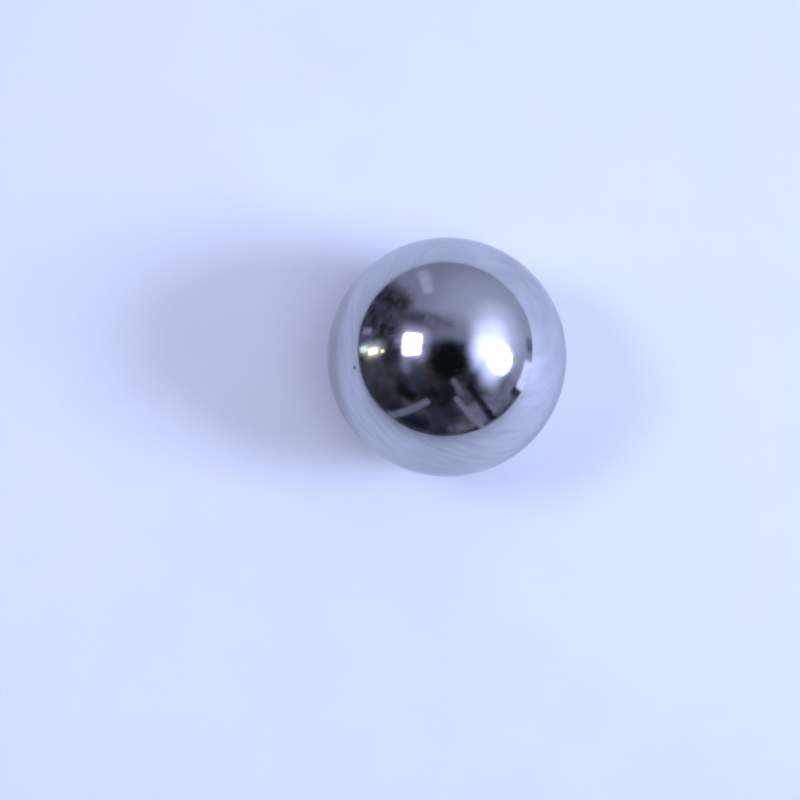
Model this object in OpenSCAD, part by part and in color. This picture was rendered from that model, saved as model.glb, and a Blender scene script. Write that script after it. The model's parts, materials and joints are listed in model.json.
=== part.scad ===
// Polished steel ball: one solid sphere of hardened steel, ground and lapped to a mirror finish.
// The origin is the ball's centre, with +Z up. Sizes are in millimetres.

/* [Ball] */
// Diameter of the ball
ball_diameter = 25.4; // [3:0.1:60]

/* [Hidden] */
// Segments round the ball's equator where it is drawn as a mesh
ball_segments = 180;
// Names of the separate pieces
// Piece that is drawn: one of the names above, or "all"

// The ball, centred on the origin, with no flat, hole or seam
module ball() {
    color("silver")
        sphere(d = ball_diameter, $fn = ball_segments);
}

ball();
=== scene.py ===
"""Looks of a mirror-polished steel ball, on a pale studio floor.

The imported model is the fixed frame: the ball is built over its node, and the studio stands round it.
Lengths are in metres, the origin is the ball's centre and +Z is up.
"""

import json
import math
from typing import NamedTuple

import bpy
from mathutils import Matrix, Quaternion, Vector


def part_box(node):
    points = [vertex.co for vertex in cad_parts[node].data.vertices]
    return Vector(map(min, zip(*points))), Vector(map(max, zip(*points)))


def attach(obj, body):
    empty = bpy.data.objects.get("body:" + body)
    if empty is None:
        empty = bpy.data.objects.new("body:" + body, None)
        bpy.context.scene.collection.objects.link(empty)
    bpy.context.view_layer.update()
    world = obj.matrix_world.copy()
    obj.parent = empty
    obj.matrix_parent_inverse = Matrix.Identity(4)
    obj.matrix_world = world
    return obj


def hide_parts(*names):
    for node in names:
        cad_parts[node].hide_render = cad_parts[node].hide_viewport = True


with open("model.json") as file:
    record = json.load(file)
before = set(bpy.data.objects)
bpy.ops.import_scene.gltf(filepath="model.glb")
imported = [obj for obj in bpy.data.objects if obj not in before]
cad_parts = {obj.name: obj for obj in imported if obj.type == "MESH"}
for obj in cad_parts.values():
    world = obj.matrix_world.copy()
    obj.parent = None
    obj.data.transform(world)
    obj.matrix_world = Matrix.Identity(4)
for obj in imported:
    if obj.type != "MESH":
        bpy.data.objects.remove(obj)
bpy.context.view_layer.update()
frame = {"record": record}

bl_info = {
    "name": "Steel Ball",
    "version": (1, 0, 0),
    "blender": (4, 5, 0),
    "location": "View3D > Sidebar > Steel Ball",
    "description": "Builds a mirror-polished steel ball and the studio that it is shown in",
    "category": "Object",
}

BALL_NODE = "ball"
BALL_BODY = "root"
STEEL_SLOT = "polished_steel"
BALL_LOW, BALL_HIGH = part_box(BALL_NODE)
BALL_RADIUS = (BALL_HIGH.z - BALL_LOW.z) / 2
STEEL_COLOUR = next(
    finish["base_color"] for finish in frame["record"]["materials"] if finish["slot"] == STEEL_SLOT
)
PIT_ATTRIBUTE = "pit"


# Settings that a user would change


class BallSettings(bpy.types.PropertyGroup):
    """Form and finish of the ball"""

    radius: bpy.props.FloatProperty(
        name="Radius",
        description="Radius of the ball",
        default=BALL_RADIUS,
        min=0.001,
        precision=5,
        unit="LENGTH",
    )
    cells: bpy.props.IntProperty(
        name="Cells",
        description="Mesh cells along each of the twelve arcs between the ball's eight corner points",
        default=120,
        min=8,
        max=128,
    )
    colour: bpy.props.FloatVectorProperty(
        name="Steel colour",
        description="Light that the bare steel throws back",
        default=STEEL_COLOUR,
        subtype="COLOR",
        min=0.0,
        max=1.0,
    )
    roughness: bpy.props.FloatProperty(
        name="Polish",
        description="Roughness of the cleanest, best polished steel",
        default=0.02,
        min=0.0,
        max=1.0,
        subtype="FACTOR",
    )
    haze: bpy.props.FloatProperty(
        name="Haze",
        description="Roughness that handling films add where they are thickest",
        default=0.05,
        min=0.0,
        max=1.0,
        subtype="FACTOR",
    )
    hairline: bpy.props.FloatProperty(
        name="Hairlines",
        description="Roughness that the fine lapping lines add",
        default=0.10,
        min=0.0,
        max=1.0,
        subtype="FACTOR",
    )
    pit_azimuth: bpy.props.FloatProperty(
        name="Pit azimuth",
        description="Direction of the pit round the ball, from the front towards +X",
        default=math.radians(-84.7),
        subtype="ANGLE",
    )
    pit_elevation: bpy.props.FloatProperty(
        name="Pit elevation",
        description="Height of the pit above the ball's equator",
        default=math.radians(41.0),
        subtype="ANGLE",
    )
    pit_radius: bpy.props.FloatProperty(
        name="Pit radius",
        description="Radius of the small dark pit",
        default=0.00044,
        min=0.00005,
        precision=5,
        unit="LENGTH",
    )
    pit_depth: bpy.props.FloatProperty(
        name="Pit depth",
        description="Depth of the small dark pit at its middle",
        default=0.000027,
        min=0.0,
        precision=6,
        unit="LENGTH",
    )


class StageSettings(bpy.types.PropertyGroup):
    """Floor, light and camera of the studio"""

    floor_width: bpy.props.FloatProperty(
        name="Floor width",
        description="Side of the square floor",
        default=4.0,
        min=1.0,
        unit="LENGTH",
    )
    paper_colour: bpy.props.FloatVectorProperty(
        name="Paper colour",
        description="Colour of the paper that covers the floor",
        default=(0.80, 0.81, 0.83),
        subtype="COLOR",
        min=0.0,
        max=1.0,
    )
    backdrop: bpy.props.FloatVectorProperty(
        name="Backdrop",
        description="Colour of the even backdrop that shows above the floor in level views",
        default=(0.48, 0.53, 0.76),
        subtype="COLOR",
        min=0.0,
        max=1.0,
    )
    camera_distance: bpy.props.FloatProperty(
        name="Camera distance",
        description="Distance of the camera from the ball's centre",
        default=0.35,
        min=0.05,
        unit="LENGTH",
    )
    camera_elevation: bpy.props.FloatProperty(
        name="Camera elevation",
        description="Height of the camera above the horizon, seen from the ball",
        default=math.radians(79.2),
        subtype="ANGLE",
    )
    camera_roll: bpy.props.FloatProperty(
        name="Camera roll",
        description="Turn of the camera about the line to the ball",
        default=math.radians(-10.6),
        subtype="ANGLE",
    )


# Node building


def fill_socket(tree, socket, value):
    """Links an input to another node's output, or sets it to a plain value."""
    if isinstance(value, bpy.types.NodeSocket):
        tree.links.new(value, socket)
    else:
        socket.default_value = value


def add_node(tree, kind, inputs=None, **settings):
    """Adds a node with its settings, and fills its inputs, which are given by name or number."""
    node = tree.nodes.new(kind)
    for name, value in settings.items():
        setattr(node, name, value)
    for key, value in (inputs or {}).items():
        fill_socket(tree, node.inputs[key], value)
    return node


def maths(tree, operation, first, second=0.0):
    """Output of a Math node."""
    node = add_node(tree, "ShaderNodeMath", {0: first, 1: second}, operation=operation)
    return node.outputs[0]


def mean(tree, first, second):
    """Mean of two numbers."""
    return maths(tree, "MULTIPLY", maths(tree, "ADD", first, second), 0.5)


def vectors(tree, operation, first, second=(0.0, 0.0, 0.0)):
    """Vector output of a Vector Math node."""
    node = add_node(tree, "ShaderNodeVectorMath", {0: first, 1: second}, operation=operation)
    return node.outputs["Vector"]


def scaled(tree, vector, factor):
    """A vector times a number."""
    node = add_node(tree, "ShaderNodeVectorMath", {0: vector, "Scale": factor}, operation="SCALE")
    return node.outputs["Vector"]


def dot(tree, first, second):
    """Dot product of two vectors."""
    node = add_node(tree, "ShaderNodeVectorMath", {0: first, 1: second}, operation="DOT_PRODUCT")
    return node.outputs["Value"]


def length(tree, vector):
    """Length of a vector."""
    return add_node(tree, "ShaderNodeVectorMath", {0: vector}, operation="LENGTH").outputs["Value"]


def turned(tree, vector, turn_deg):
    """A vector turned about X, Y and Z."""
    turn = tuple(math.radians(angle) for angle in turn_deg)
    return add_node(tree, "ShaderNodeMapping", {"Vector": vector, "Rotation": turn}).outputs["Vector"]


def noise(tree, place, scale, detail, **inputs):
    """Noise node that reads a place."""
    inputs.update({"Vector": place, "Scale": scale, "Detail": detail})
    return add_node(tree, "ShaderNodeTexNoise", inputs)


def ramp(tree, value, low, high, to_low=0.0, to_high=1.0):
    """A value eased from one range to another, and held at its ends."""
    inputs = {"Value": value, "From Min": low, "From Max": high, "To Min": to_low, "To Max": to_high}
    node = add_node(tree, "ShaderNodeMapRange", inputs, interpolation_type="SMOOTHSTEP")
    return node.outputs["Result"]


def mixed(tree, factor, first, second):
    """Two colours mixed by a factor."""
    node = add_node(tree, "ShaderNodeMix", data_type="RGBA")
    sockets = {socket.identifier: socket for socket in node.inputs}
    for identifier, value in (("Factor_Float", factor), ("A_Color", first), ("B_Color", second)):
        fill_socket(tree, sockets[identifier], value)
    return next(socket for socket in node.outputs if socket.identifier == "Result_Color")


def opaque(colour, strength=1.0):
    """A colour times a strength, with full alpha."""
    return (*(part * strength for part in colour), 1.0)


def new_material(name):
    """An empty material, its node tree and its output's surface socket."""
    material = bpy.data.materials.new(name)
    material.use_nodes = True
    tree = material.node_tree
    tree.nodes.clear()
    output = add_node(tree, "ShaderNodeOutputMaterial")
    return material, tree, output.inputs["Surface"]


def direction(azimuth, elevation):
    """Unit vector of a compass direction: azimuth 0 is the front, -Y, and 90 degrees is +X."""
    level = math.cos(elevation)
    return Vector((math.sin(azimuth) * level, -math.cos(azimuth) * level, math.sin(elevation)))


def toward(tree, way, azimuth_deg, elevation_deg):
    """How far a vector reaches in a compass direction."""
    return dot(tree, way, direction(math.radians(azimuth_deg), math.radians(elevation_deg)))


# Polished steel

# Haze of handling, which dulls the polish in patches
HAZE_SIZE = 0.006
HAZE_DETAIL = 6.0
HAZE_ROUGHNESS = 0.6
HAZE_DISTORTION = 0.8
HAZE_SHARE = (0.45, 0.75)
# Lapping lines, each set turned another way and left out near its own poles
HAIRLINE_WIDTH = 0.00004
HAIRLINE_LENGTH = 0.004
HAIRLINE_DETAIL = 1.0
HAIRLINE_SHARE = (0.61, 0.72)
HAIRLINE_POLE_FADE = (0.70, 0.92)
HAIRLINE_TURNS_DEG = ((0, 0, 0), (62, 0, 25), (118, 0, 70), (75, 0, 140), (97, 0, 205))
HAIRLINE_HEIGHT = 0.0000004
# Film in wiped streaks over a broad cast, calmer on the crown
CAST_SIZE = 0.012
CAST_DETAIL = 2.0
FILM_STREAK = (0.0032, 0.0032, 0.0006)
FILM_TURN_DEG = (8, -38, 0)
FILM_DETAIL = 4.0
FILM_SHARE = (0.35, 0.65)
FILM_TONES = (0.79, 1.0)
FILM_EVEN_TONE = 0.86
FILM_CROWN = (0.60, 0.85)
FILM_CROWN_SHARE = 0.7
# Mirror at grazing angles, and the dark pit
GRAZING_TINT = (0.80, 0.80, 0.82)
PIT_TONE = 0.50
PIT_ROUGHNESS = 0.30


def lapping_lines(tree, place, radius):
    """Fine arcs that the lapping plates leave, in several directions, as a factor."""
    total = None
    for turn_deg in HAIRLINE_TURNS_DEG:
        lap = turned(tree, place, turn_deg)
        stretched = vectors(tree, "DIVIDE", lap, (HAIRLINE_LENGTH, HAIRLINE_LENGTH, HAIRLINE_WIDTH))
        lines = ramp(tree, noise(tree, stretched, 1.0, HAIRLINE_DETAIL).outputs["Fac"], *HAIRLINE_SHARE)
        height = maths(tree, "ABSOLUTE", dot(tree, lap, (0.0, 0.0, 1.0 / radius)))
        kept = maths(tree, "MULTIPLY", lines, ramp(tree, height, *HAIRLINE_POLE_FADE, 1.0, 0.0))
        total = kept if total is None else maths(tree, "MAXIMUM", total, kept)
    return total


def filmed_colour(tree, place, settings):
    """Colour of the steel under its film: streaky low on the ball and almost even on the crown."""
    cast = noise(tree, place, 1 / CAST_SIZE, CAST_DETAIL).outputs["Fac"]
    wiped = vectors(tree, "DIVIDE", turned(tree, place, FILM_TURN_DEG), FILM_STREAK)
    streaks = noise(tree, wiped, 1.0, FILM_DETAIL).outputs["Fac"]
    dull, clear = (opaque(settings.colour, tone) for tone in FILM_TONES)
    streaky = mixed(tree, ramp(tree, mean(tree, cast, streaks), *FILM_SHARE), dull, clear)
    height = dot(tree, place, (0.0, 0.0, 1.0 / settings.radius))
    crown = ramp(tree, height, *FILM_CROWN, 0.0, FILM_CROWN_SHARE)
    return mixed(tree, crown, streaky, opaque(settings.colour, FILM_EVEN_TONE))


def worn_roughness(tree, place, lines, settings):
    """Roughness of the polish, dulled by the haze and the lapping lines."""
    patches = noise(
        tree, place, 1 / HAZE_SIZE, HAZE_DETAIL, Roughness=HAZE_ROUGHNESS, Distortion=HAZE_DISTORTION
    )
    haze = ramp(tree, patches.outputs["Fac"], *HAZE_SHARE)
    haze_roughness = maths(tree, "MULTIPLY", haze, settings.haze)
    line_roughness = maths(tree, "MULTIPLY", lines, settings.hairline)
    return maths(tree, "ADD", maths(tree, "ADD", haze_roughness, line_roughness), settings.roughness)


def steel_material(settings):
    """Mirror-polished steel with a thin film, a faint haze, fine lapping lines and one dark pit."""
    material, tree, surface = new_material("Polished steel")
    place = add_node(tree, "ShaderNodeTexCoord").outputs["Object"]
    pit = add_node(tree, "ShaderNodeAttribute", attribute_name=PIT_ATTRIBUTE).outputs["Fac"]
    lines = lapping_lines(tree, place, settings.radius)
    steel = filmed_colour(tree, place, settings)
    worn = worn_roughness(tree, place, lines, settings)
    grooves = maths(tree, "MULTIPLY", lines, -1.0)
    bump = add_node(
        tree, "ShaderNodeBump", {"Strength": 1.0, "Distance": HAIRLINE_HEIGHT, "Height": grooves}
    )
    shader = add_node(
        tree, "ShaderNodeBsdfPrincipled",
        {
            "Base Color": mixed(tree, pit, steel, opaque(settings.colour, PIT_TONE)),
            "Metallic": 1.0,
            "Roughness": maths(tree, "MAXIMUM", worn, maths(tree, "MULTIPLY", pit, PIT_ROUGHNESS)),
            "Specular Tint": opaque(GRAZING_TINT),
            "Normal": bump.outputs["Normal"],
        },
    )
    tree.links.new(shader.outputs["BSDF"], surface)
    return material


# Ball

# The grid's cube reaches from -1 to 1, and half of its face is seen under this angle from its centre
CUBE_SIZE = (2.0, 2.0, 2.0)
HALF_FACE_ANGLE = math.pi / 4
# The grid is drawn together over this many pit radii, by this share at the pit's middle
PIT_REACH = 12.0
PIT_CROWDING = 0.75


def ball_tree():
    """Geometry Nodes tree of the ball: a cube's grid on the sphere, drawn together at the pit."""
    tree = bpy.data.node_groups.new("Ball form", "GeometryNodeTree")
    sockets = tree.interface
    for name, kind in (
        ("Radius", "NodeSocketFloat"),
        ("Cells", "NodeSocketInt"),
        ("Pit direction", "NodeSocketVector"),
        ("Pit radius", "NodeSocketFloat"),
        ("Pit depth", "NodeSocketFloat"),
        ("Material", "NodeSocketMaterial"),
    ):
        sockets.new_socket(name=name, in_out="INPUT", socket_type=kind)
    sockets.new_socket(name="Geometry", in_out="OUTPUT", socket_type="NodeSocketGeometry")
    given = add_node(tree, "NodeGroupInput").outputs
    points = maths(tree, "ADD", given["Cells"], 1.0)
    cube = add_node(
        tree, "GeometryNodeMeshCube",
        {"Size": CUBE_SIZE, "Vertices X": points, "Vertices Y": points, "Vertices Z": points},
    )
    place = add_node(tree, "GeometryNodeInputPosition").outputs["Position"]
    even = vectors(tree, "TANGENT", scaled(tree, place, HALF_FACE_ANGLE))
    outward = vectors(tree, "NORMALIZE", even)
    pit_way = given["Pit direction"]
    along = dot(tree, outward, pit_way)
    aside = vectors(tree, "SUBTRACT", outward, scaled(tree, pit_way, along))
    spread = length(tree, aside)
    pit_angle = maths(tree, "DIVIDE", given["Pit radius"], given["Radius"])
    reach = maths(tree, "MULTIPLY", pit_angle, PIT_REACH)
    near = ramp(tree, maths(tree, "DIVIDE", spread, reach), 0.0, 1.0, 1.0 - PIT_CROWDING, 1.0)
    drawn = vectors(tree, "ADD", scaled(tree, pit_way, along), scaled(tree, aside, near))
    crowded = vectors(tree, "NORMALIZE", drawn)
    off_pit = vectors(tree, "SUBTRACT", crowded, pit_way)
    hollow = ramp(tree, maths(tree, "DIVIDE", length(tree, off_pit), pit_angle), 0.0, 1.0, 1.0, 0.0)
    sunk = maths(tree, "SUBTRACT", given["Radius"], maths(tree, "MULTIPLY", hollow, given["Pit depth"]))
    marked = add_node(
        tree, "GeometryNodeStoreNamedAttribute",
        {"Geometry": cube.outputs["Mesh"], "Name": PIT_ATTRIBUTE, "Value": hollow},
        data_type="FLOAT", domain="POINT",
    )
    ball = add_node(
        tree, "GeometryNodeSetPosition",
        {"Geometry": marked.outputs["Geometry"], "Position": scaled(tree, crowded, sunk)},
    )
    smooth = add_node(tree, "GeometryNodeSetShadeSmooth", {"Geometry": ball.outputs["Geometry"]})
    real = add_node(tree, "GeometryNodeRealizeInstances", {"Geometry": smooth.outputs["Geometry"]})
    steel = add_node(
        tree, "GeometryNodeSetMaterial",
        {"Geometry": real.outputs["Geometry"], "Material": given["Material"]},
    )
    add_node(tree, "NodeGroupOutput", {"Geometry": steel.outputs["Geometry"]})
    return tree


def ball_piece(settings, material):
    """The ball as a plain mesh, grown by its Geometry Nodes tree."""
    ball = bpy.data.objects.new("polished_ball", bpy.data.meshes.new("polished_ball"))
    bpy.context.scene.collection.objects.link(ball)
    tree = ball_tree()
    values = {
        "Radius": settings.radius,
        "Cells": settings.cells,
        "Pit direction": direction(settings.pit_azimuth, settings.pit_elevation),
        "Pit radius": settings.pit_radius,
        "Pit depth": settings.pit_depth,
        "Material": material,
    }
    grower = ball.modifiers.new("Ball form", "NODES")
    grower.node_group = tree
    for entry in tree.interface.items_tree:
        if entry.in_out == "INPUT":
            grower[entry.identifier] = values[entry.name]
    graph = bpy.context.evaluated_depsgraph_get()
    grown = bpy.data.meshes.new_from_object(
        ball.evaluated_get(graph), preserve_all_data_layers=True, depsgraph=graph
    )
    ball.modifiers.remove(grower)
    ball.data = grown
    return ball


# Studio

SKY_LIGHT = (0.52, 0.60, 1.0)
LILAC_LIGHT = (0.63, 0.61, 1.0)
FILL_LIGHT = (0.71, 0.84, 1.0)
AMBER_LIGHT = (1.0, 0.95, 0.45)
STRAW_LIGHT = (1.0, 1.0, 0.72)
CREAM_LIGHT = (1.0, 1.0, 0.80)
MINT_LIGHT = (0.80, 1.0, 0.95)
SHADE = (0.61, 0.66, 1.0)
SLATE = (0.50, 0.60, 1.0)
NAVY = (0.22, 0.36, 1.0)
TAUPE = (0.80, 0.75, 1.0)


class Card(NamedTuple):
    """A flat card of the studio that faces the ball: a softbox, a lamp, a scrim or a plain board.

    way_deg is the azimuth and elevation that it is seen under from the ball, and distance how far off it
    stands. size is its width and height, corner the radius of its corners and feather the depth of its
    soft rim. roll_deg turns it in its own plane, tilt_deg leans it, and uneven is how patchy it is.
    """

    name: str
    way_deg: tuple
    size: tuple
    corner: float
    feather: float
    colour: tuple
    brightness: float
    distance: float = 1.0
    roll_deg: float = 0.0
    tilt_deg: float = 0.0
    uneven: float = 0.0


# Lights of the studio
LIGHTS = (
    Card("key_softbox", (69.0, 34.8), (0.46, 0.49), 0.23, 0.10, SKY_LIGHT, 27.8),
    Card(
        "square_softbox", (-106.0, 59.5), (0.41, 0.405), 0.10, 0.10, LILAC_LIGHT, 12.6,
        roll_deg=-0.6, tilt_deg=16.1,
    ),
    Card("lamp_high", (-100.5, 28.5), (0.085, 0.11), 0.040, 0.030, AMBER_LIGHT, 2.8, 1.2),
    Card("lamp_middle", (-102.0, 18.0), (0.16, 0.30), 0.070, 0.055, STRAW_LIGHT, 3.4, 1.2),
    Card("lamp_low", (-105.0, 7.0), (0.14, 0.26), 0.065, 0.055, MINT_LIGHT, 2.0, 1.2),
)
# Light from above that no mirror shows
FILL = Card("overhead_fill", (35.0, 70.0), (0.90, 0.90), 0.45, 0.30, FILL_LIGHT, 5.45, 1.3)
# Scrims that spread a light's glow
SCRIMS = (
    Card("key_bloom", (69.0, 46.0), (0.84, 1.10), 0.42, 0.42, SKY_LIGHT, 3.1, 1.03),
    Card("key_lobe", (93.0, 46.0), (0.90, 1.04), 0.45, 0.45, SHADE, 1.1, 1.08),
    Card("key_underglow", (47.0, 37.0), (0.56, 0.60), 0.28, 0.28, SKY_LIGHT, 1.5, 1.06),
    Card("key_halo", (98.0, 36.0), (2.00, 1.70), 0.85, 0.85, SHADE, 0.75, 1.40),
    Card("square_bloom", (-104.0, 62.0), (0.74, 0.70), 0.24, 0.24, LILAC_LIGHT, 0.65, 1.02),
    Card("lamp_bloom", (-102.5, 17.0), (0.42, 0.64), 0.20, 0.20, CREAM_LIGHT, 0.45, 1.25),
)
# Boards, drapes and stands that the ball mirrors: glowing cards, whose emission stands in for the light
# that falls on them
BOARDS = (
    Card("dark_screen", (-133.0, 16.0), (1.80, 2.10), 0.60, 0.45, SHADE, 0.09, 1.60, uneven=0.7),
    Card("dark_valance", (-145.0, 48.2), (0.60, 1.64), 0.30, 0.30, SHADE, 0.15, 1.55, 28.0, uneven=0.2),
    Card("valance_tail", (-155.6, 58.0), (0.58, 1.94), 0.29, 0.29, SHADE, 0.33, 1.58, 38.0, uneven=0.2),
    Card("dark_fold", (-105.0, 37.0), (0.44, 0.36), 0.17, 0.15, SHADE, 0.06, 1.45, uneven=0.2),
    Card("dark_drape", (-22.0, 40.0), (1.40, 1.10), 0.50, 0.45, SHADE, 0.03, 1.50, uneven=0.4),
    Card("grey_ground", (34.0, 17.0), (1.40, 0.86), 0.25, 0.22, SHADE, 0.38, 1.45, uneven=0.2),
    Card("navy_drape", (-40.0, 10.0), (0.86, 0.46), 0.18, 0.16, NAVY, 0.050, 1.30, uneven=0.4),
    Card("taupe_drape", (-53.0, 32.0), (0.66, 0.46), 0.20, 0.17, TAUPE, 0.014, 1.35, uneven=0.4),
    Card("front_card", (2.0, 7.0), (0.56, 0.30), 0.12, 0.12, SHADE, 0.24, 1.25, uneven=0.4),
    Card("pale_strip", (-175.0, 20.0), (0.30, 0.80), 0.12, 0.11, SHADE, 0.80, 1.30, uneven=0.1),
    Card("pale_card", (-117.5, 8.5), (0.18, 0.32), 0.08, 0.08, SHADE, 0.60, 1.25),
    Card("low_card", (65.0, 2.5), (0.50, 0.30), 0.08, 0.07, SHADE, 1.90, 1.15),
    Card("side_post", (87.0, 3.0), (0.32, 0.26), 0.12, 0.11, SLATE, 0.32, 1.20, uneven=0.3),
    Card("front_post", (51.0, 4.0), (0.24, 0.34), 0.10, 0.09, SLATE, 0.09, 1.20, uneven=0.3),
    Card("grey_card", (-76.0, 48.0), (0.40, 0.34), 0.16, 0.16, SHADE, 0.42, 1.20),
    Card("left_stand", (-43.0, 18.0), (0.15, 0.84), 0.06, 0.05, SHADE, 0.36, 0.95, -33.0),
    Card("right_stand", (10.0, 20.0), (0.12, 0.80), 0.05, 0.04, SHADE, 0.42, 0.95, 18.0),
    Card("dark_stand", (24.0, 24.0), (0.16, 0.90), 0.07, 0.06, SHADE, 0.02, 0.95, 4.0),
    Card("stand_plate", (7.0, 50.0), (0.05, 0.13), 0.022, 0.020, SHADE, 0.32, 0.34, 14.0),
    Card("camera_hood", (3.0, 75.0), (0.33, 0.33), 0.12, 0.10, SHADE, 0.012, 0.365, 30.0),
)

# Patches of an uneven card
PATCH_SIZE = 0.20
PATCH_DETAIL = 3.0
PATCH_MIDDLE = (0.5, 0.5, 0.5)
PATCH_SHARE = (0.3, 0.7)

# Pale walls and ceiling of the studio
BACK_WALL_WAY_DEG = (170.0, 0.0)
BACK_WALL_EDGE = (-0.02, 0.14)
SIDE_WALL_WAY_DEG = (100.0, 0.0)
SIDE_WALL_EDGE = (0.45, 0.80)
WALL_TONES = (0.50, 0.86)
WALL_GLOW_WAY_DEG = (110.0, 40.0)
WALL_GLOW_EDGE = (0.38, 1.0)
CEILING_WAY_DEG = (0.0, 90.0)
CEILING_EDGE = (0.78, 0.95)
CEILING_SHARE = 0.62
# Dim side of the studio
GLOOM_SCALE = 3.0
GLOOM_DETAIL = 4.0
GLOOM_HUE_SCALE = 2.0
GLOOM_HUE_DETAIL = 2.0
GLOOM_SHARE = (0.35, 0.70)
GLOOM_TONES = (0.05, 0.15)

# Paper of the floor, dimmer towards the front: a painted soft shadow darkens its colour there
GRAIN_SIZE = 0.0006
GRAIN_DETAIL = 3.0
GRAIN_HEIGHT = 0.00002
COCKLE_SIZE = 0.05
COCKLE_DETAIL = 2.0
COCKLE_HEIGHT = 0.0005
MOTTLE_SIZE = 0.012
MOTTLE_DETAIL = 5.0
MOTTLE_SHARE = (0.3, 0.7)
MOTTLE_TONES = (0.975, 1.0)
PAPER_ROUGHNESS = 0.65
PAPER_SHEEN = 1.0
PAPER_FADE = (0.12, 0.70)
PAPER_PAINTED_SHADOW_WAY_DEG = (-8.0, 0.0)
PAPER_PAINTED_SHADOW_REACH = (0.0, 0.17)
PAPER_PAINTED_SHADOW_SHARE = 0.69

# Camera, with the ball's place in the picture to the right of and above the picture's middle
SENSOR_WIDTH = 0.036
FRAME_SIDE_PX = 800
BALL_RADIUS_PX = 119.84
BALL_OFFSET_PX = Vector((46.74, 42.94))
METRE_MM = 1000.0
NEAR_CLIP_SHARE = 0.1


def facing(place, target, roll=0.0):
    """Turn of an object at a place whose -Z axis looks at the target, its Y axis up before the roll."""
    return (target - place).to_track_quat("-Z", "Y") @ Quaternion((0.0, 0.0, 1.0), roll)


def flat_card(name, width, height, material):
    """A flat rectangle of the studio, centred on its own origin."""
    x, y = width / 2, height / 2
    mesh = bpy.data.meshes.new(name)
    mesh.from_pydata([(-x, -y, 0.0), (x, -y, 0.0), (x, y, 0.0), (-x, y, 0.0)], [], [(0, 1, 2, 3)])
    mesh.materials.append(material)
    card = bpy.data.objects.new(name, mesh)
    bpy.context.scene.collection.objects.link(card)
    return card


def card_material(card, scrim):
    """Light of a card, which fades away over its soft rim: a scrim adds it to what lies behind."""
    material, tree, surface = new_material(card.name)
    place = add_node(tree, "ShaderNodeTexCoord").outputs["Object"]
    strength = card.brightness
    if card.uneven:
        own_place = vectors(tree, "ADD", place, (*card.way_deg, card.distance))
        patches = noise(tree, own_place, 1 / PATCH_SIZE, PATCH_DETAIL)
        wander = vectors(tree, "SUBTRACT", patches.outputs["Color"], PATCH_MIDDLE)
        place = vectors(tree, "ADD", place, scaled(tree, wander, card.uneven * card.corner))
        tones = (strength * (1 - card.uneven), strength * (1 + card.uneven))
        strength = ramp(tree, patches.outputs["Fac"], *PATCH_SHARE, *tones)
    width, height = card.size
    inner = (width / 2 - card.corner, height / 2 - card.corner, 0.0)
    past_inner = vectors(tree, "SUBTRACT", vectors(tree, "ABSOLUTE", place), inner)
    off_inner = length(tree, vectors(tree, "MAXIMUM", past_inner))
    cover = ramp(tree, off_inner, card.corner - card.feather, card.corner, 1.0, 0.0)
    if scrim:
        strength = maths(tree, "MULTIPLY", cover, strength)
    glow = add_node(tree, "ShaderNodeEmission", {"Color": opaque(card.colour), "Strength": strength})
    light = glow.outputs["Emission"]
    clear = add_node(tree, "ShaderNodeBsdfTransparent").outputs["BSDF"]
    if scrim:
        shader = add_node(tree, "ShaderNodeAddShader", {0: clear, 1: light})
    else:
        shader = add_node(tree, "ShaderNodeMixShader", {0: cover, 1: clear, 2: light})
    tree.links.new(shader.outputs["Shader"], surface)
    return material


def studio_card(card, scrim=False):
    """A card in its place, facing the ball and left out of the camera's own sight."""
    made = flat_card(card.name, *card.size, card_material(card, scrim))
    azimuth, elevation = (math.radians(angle) for angle in card.way_deg)
    made.location = direction(azimuth, elevation) * card.distance
    made.rotation_mode = "QUATERNION"
    lean = Quaternion((1.0, 0.0, 0.0), math.radians(card.tilt_deg))
    turn = Quaternion((0.0, 0.0, 1.0), math.radians(card.roll_deg))
    made.rotation_quaternion = facing(made.location, Vector()) @ lean @ turn
    made.visible_camera = False
    made.visible_shadow = False
    return made


def mirrored_card(card, scrim=False):
    """A card that only mirrors and glosses show, and that lights nothing else."""
    made = studio_card(card, scrim)
    made.visible_diffuse = False
    made.active_material.cycles.emission_sampling = "NONE"
    return made


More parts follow.
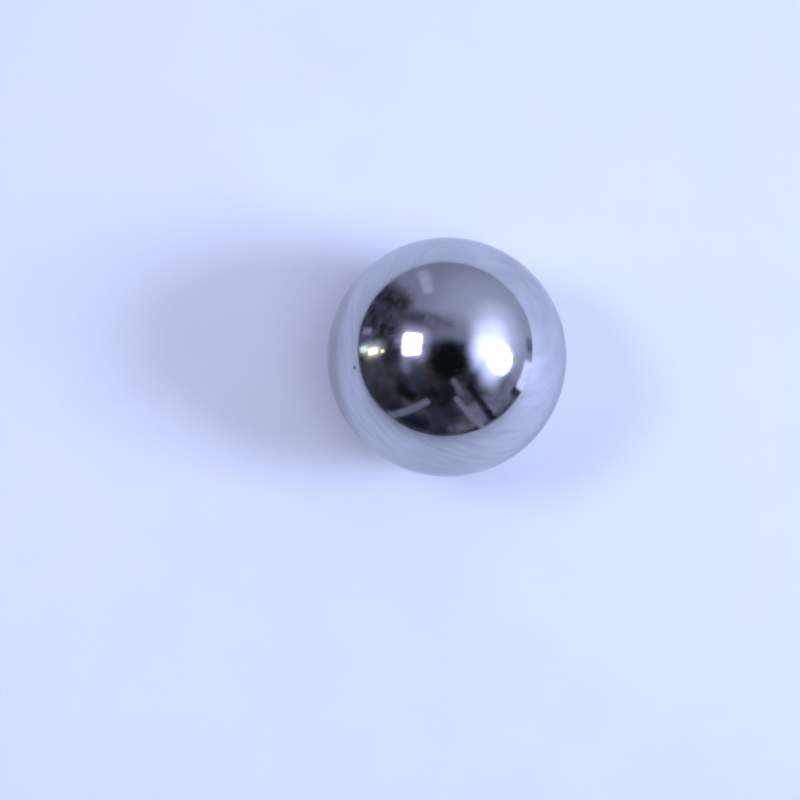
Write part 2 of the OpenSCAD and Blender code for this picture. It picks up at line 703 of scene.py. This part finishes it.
def paper_material(settings):
    """Matt paper with a fine grain, slight waves, a faint mottle and a painted shadow at the front; it
    fades out far off.
    """
    material, tree, surface = new_material("Paper")
    place = add_node(tree, "ShaderNodeTexCoord").outputs["Object"]
    mottle = noise(tree, place, 1 / MOTTLE_SIZE, MOTTLE_DETAIL).outputs["Fac"]
    dull, clear = (opaque(settings.paper_colour, tone) for tone in MOTTLE_TONES)
    colour = mixed(tree, ramp(tree, mottle, *MOTTLE_SHARE), dull, clear)
    # Painted shadow: the paper's colour is darkened towards the front, standing in for shade that falls
    # there
    forward = toward(tree, place, *PAPER_PAINTED_SHADOW_WAY_DEG)
    painted_shadow = ramp(tree, forward, *PAPER_PAINTED_SHADOW_REACH, 1.0, PAPER_PAINTED_SHADOW_SHARE)
    cockle = noise(tree, place, 1 / COCKLE_SIZE, COCKLE_DETAIL).outputs["Fac"]
    waves = add_node(tree, "ShaderNodeBump", {"Distance": COCKLE_HEIGHT, "Height": cockle})
    grain = noise(tree, place, 1 / GRAIN_SIZE, GRAIN_DETAIL).outputs["Fac"]
    bump = add_node(
        tree, "ShaderNodeBump",
        {"Distance": GRAIN_HEIGHT, "Height": grain, "Normal": waves.outputs["Normal"]},
    )
    shader = add_node(
        tree, "ShaderNodeBsdfPrincipled",
        {
            "Base Color": scaled(tree, colour, painted_shadow),
            "Roughness": PAPER_ROUGHNESS,
            "Specular IOR Level": PAPER_SHEEN,
            "Normal": bump.outputs["Normal"],
        },
    )
    reach = maths(tree, "DIVIDE", length(tree, place), settings.floor_width / 2)
    cover = ramp(tree, reach, *PAPER_FADE, 1.0, 0.0)
    clear_air = add_node(tree, "ShaderNodeBsdfTransparent").outputs["BSDF"]
    faded = add_node(tree, "ShaderNodeMixShader", {0: cover, 1: clear_air, 2: shader.outputs["BSDF"]})
    tree.links.new(faded.outputs["Shader"], surface)
    return material


def paper_floor(settings, ball):
    """The floor that the ball stands on."""
    width = settings.floor_width
    floor = flat_card("paper_floor", width, width, paper_material(settings))
    floor.location.z = -ball.radius
    return floor


def studio_world(settings):
    """Pale walls behind and beside the ball, a dim front, and an even backdrop for the camera."""
    world = bpy.data.worlds.new("Studio")
    world.use_nodes = True
    tree = world.node_tree
    tree.nodes.clear()
    way = add_node(tree, "ShaderNodeTexCoord").outputs["Generated"]
    depth = noise(tree, way, GLOOM_SCALE, GLOOM_DETAIL).outputs["Fac"]
    hue = noise(tree, way, GLOOM_HUE_SCALE, GLOOM_HUE_DETAIL).outputs["Fac"]
    tint = mixed(tree, ramp(tree, hue, *GLOOM_SHARE), opaque(SLATE), opaque(TAUPE))
    gloom = scaled(tree, tint, ramp(tree, depth, *GLOOM_SHARE, *GLOOM_TONES))
    shine = ramp(tree, toward(tree, way, *WALL_GLOW_WAY_DEG), *WALL_GLOW_EDGE, *WALL_TONES)
    height = toward(tree, way, *CEILING_WAY_DEG)
    tone = maths(tree, "MULTIPLY", shine, ramp(tree, height, *CEILING_EDGE, 1.0, CEILING_SHARE))
    back = ramp(tree, toward(tree, way, *BACK_WALL_WAY_DEG), *BACK_WALL_EDGE)
    side = ramp(tree, toward(tree, way, *SIDE_WALL_WAY_DEG), *SIDE_WALL_EDGE)
    around = mixed(tree, maths(tree, "MAXIMUM", back, side), gloom, scaled(tree, SHADE, tone))
    straight = add_node(tree, "ShaderNodeLightPath").outputs["Is Camera Ray"]
    seen = mixed(tree, straight, around, opaque(settings.backdrop))
    background = add_node(tree, "ShaderNodeBackground", {"Color": seen, "Strength": 1.0})
    add_node(tree, "ShaderNodeOutputWorld", {"Surface": background.outputs["Background"]})
    bpy.context.scene.world = world


def studio_camera(settings, ball):
    """Camera almost overhead, aimed so that the ball lies right of and above the picture's middle."""
    half_angle = math.asin(ball.radius / settings.camera_distance)
    focal_px = BALL_RADIUS_PX / math.tan(half_angle)
    lens = bpy.data.cameras.new("camera")
    lens.sensor_width = SENSOR_WIDTH * METRE_MM
    lens.lens = lens.sensor_width * focal_px / FRAME_SIDE_PX
    lens.clip_start = settings.camera_distance * NEAR_CLIP_SHARE
    lens.clip_end = settings.floor_width * 2
    camera = bpy.data.objects.new("camera", lens)
    bpy.context.scene.collection.objects.link(camera)
    place = direction(0.0, settings.camera_elevation) * settings.camera_distance
    on_ball = facing(place, Vector(), settings.camera_roll)
    aim = -BALL_OFFSET_PX * (settings.camera_distance / focal_px)
    target = on_ball @ Vector((aim.x, aim.y, 0.0))
    forward = (target - place).normalized()
    right = forward.cross(on_ball @ Vector((0.0, 1.0, 0.0))).normalized()
    axes = Matrix((right, right.cross(forward), -forward)).transposed()
    camera.rotation_mode = "QUATERNION"
    camera.location = place
    camera.rotation_quaternion = axes.to_quaternion()
    bpy.context.scene.camera = camera


# Add-on


class STEELBALL_OT_ball(bpy.types.Operator):
    """Build the polished ball over its node of the frame"""

    bl_idname = "steelball.ball"
    bl_label = "Polished Ball"

    def execute(self, context):
        settings = context.scene.steel_ball
        ball = ball_piece(settings, steel_material(settings))
        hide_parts(BALL_NODE)
        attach(ball, BALL_BODY)
        return {"FINISHED"}


class STEELBALL_OT_stage(bpy.types.Operator):
    """Set up the floor, the light and the camera"""

    bl_idname = "steelball.stage"
    bl_label = "Studio"

    def execute(self, context):
        settings = context.scene.steel_ball_stage
        ball = context.scene.steel_ball
        paper_floor(settings, ball)
        for card in LIGHTS:
            studio_card(card)
        for card in SCRIMS:
            mirrored_card(card, scrim=True)
        for card in BOARDS:
            mirrored_card(card)
        fill = studio_card(FILL)
        fill.visible_glossy = False
        studio_world(settings)
        studio_camera(settings, ball)
        context.scene.view_settings.view_transform = "Standard"
        return {"FINISHED"}


class STEELBALL_PT_panel(bpy.types.Panel):
    """Sizes, finish and studio of the steel ball"""

    bl_label = "Steel Ball"
    bl_space_type = "VIEW_3D"
    bl_region_type = "UI"
    bl_category = "Steel Ball"

    def draw(self, context):
        for group, operator in (
            (context.scene.steel_ball, STEELBALL_OT_ball),
            (context.scene.steel_ball_stage, STEELBALL_OT_stage),
        ):
            box = self.layout.box()
            for name in group.__annotations__:
                box.prop(group, name)
            box.operator(operator.bl_idname)


CLASSES = (BallSettings, StageSettings, STEELBALL_OT_ball, STEELBALL_OT_stage, STEELBALL_PT_panel)


def register():
    """Registers the classes and puts the settings on the scene."""
    for entry in CLASSES:
        bpy.utils.register_class(entry)
    bpy.types.Scene.steel_ball = bpy.props.PointerProperty(type=BallSettings)
    bpy.types.Scene.steel_ball_stage = bpy.props.PointerProperty(type=StageSettings)


def unregister():
    """Takes the settings off the scene and unregisters the classes."""
    del bpy.types.Scene.steel_ball_stage
    del bpy.types.Scene.steel_ball
    for entry in reversed(CLASSES):
        bpy.utils.unregister_class(entry)


def main():
    """Builds the ball and its studio."""
    register()
    bpy.ops.steelball.ball()
    bpy.ops.steelball.stage()


if __name__ == "__main__":
    main()
